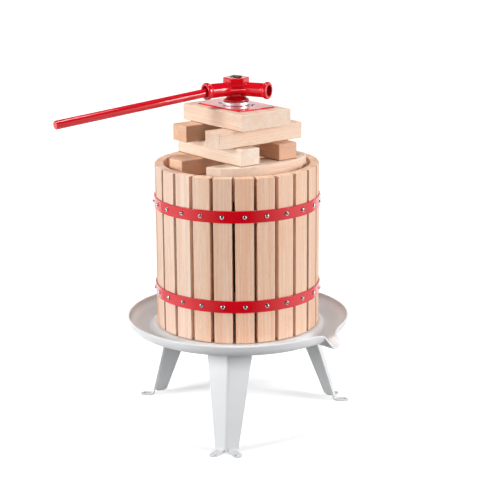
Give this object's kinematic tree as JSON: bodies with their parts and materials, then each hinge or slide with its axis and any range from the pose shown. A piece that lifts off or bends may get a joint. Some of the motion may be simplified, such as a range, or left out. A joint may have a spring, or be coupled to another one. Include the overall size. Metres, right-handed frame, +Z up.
{
  "type": "fruit press",
  "caption": "Slatted wooden basket in a steel tray on folded legs, with a threaded spindle, a stack of wooden blocks and a red press head turned by a bar.",
  "frame": {"origin": "on the floor under the spindle, at the centre of the circle of foot holes", "axes": "+Z up along the spindle, -Y towards the front leg, +X to the right seen from the front leg"},
  "size_m": [0.4415, 0.398, 0.58],
  "materials": {
    "beech": "planed, unvarnished",
    "red_paint": "gloss powder coat",
    "white_paint": "satin enamel",
    "bright_steel": "zinc plated",
    "dark_steel": "oiled"
  },
  "bodies": {
    "base": {"tray": "white_paint", "base_plate": "white_paint", "base_spacer": "bright_steel", "leg_front": "white_paint", "leg_right": "white_paint", "leg_left": "white_paint", "leg_bolts": "bright_steel", "leg_nuts": "bright_steel", "spindle": "dark_steel", "spindle_sleeve": "bright_steel", "base_washer": "bright_steel", "base_nut": "bright_steel"},
    "basket": {"stave_01": "beech", "stave_02": "beech", "stave_03": "beech", "stave_04": "beech", "stave_05": "beech", "stave_06": "beech", "stave_07": "beech", "stave_08": "beech", "stave_09": "beech", "stave_10": "beech", "stave_11": "beech", "stave_12": "beech", "stave_13": "beech", "stave_14": "beech", "stave_15": "beech", "stave_16": "beech", "stave_17": "beech", "stave_18": "beech", "stave_19": "beech", "stave_20": "beech", "stave_21": "beech", "stave_22": "beech", "stave_23": "beech", "stave_24": "beech", "hoop_upper": "red_paint", "hoop_lower": "red_paint", "hoop_screws_upper": "bright_steel", "hoop_screws_lower": "bright_steel"},
    "stack": {"press_plate_front": "beech", "press_plate_back": "beech", "press_board_front": "beech", "press_board_back": "beech", "lower_beam_left": "beech", "lower_beam_right": "beech", "upper_beam_front": "beech", "upper_beam_back": "beech", "top_block": "beech", "pressure_plate": "red_paint", "plate_screws": "bright_steel", "thrust_ring": "bright_steel"},
    "head": {"press_head": "red_paint"},
    "bar": {"handle_bar": "red_paint"}
  },
  "joints": [
    {"name": "press_travel", "type": "slide", "parent": "base", "child": "stack", "axis": [0, 0, 1], "range_m": [-0.1001, 0]},
    {"name": "head_turn", "type": "hinge", "parent": "stack", "child": "head", "pos_m": [0, 0, 0.5585], "axis": [0, 0, 1], "range_deg": [-9000, 0]},
    {"name": "bar_slide", "type": "slide", "parent": "head", "child": "bar", "axis": [-0.7684, -0.6335, -0.0906], "range_m": [0, 0.04]},
    {"name": "basket_turn", "type": "hinge", "parent": "base", "child": "basket", "pos_m": [0, 0, 0.3038], "axis": [0, 0, 1], "continuous": true}
  ],
  "couplings": [
    {"joint": "press_travel", "follows": "head_turn", "m_per_rad": 0.00063662}
  ]
}
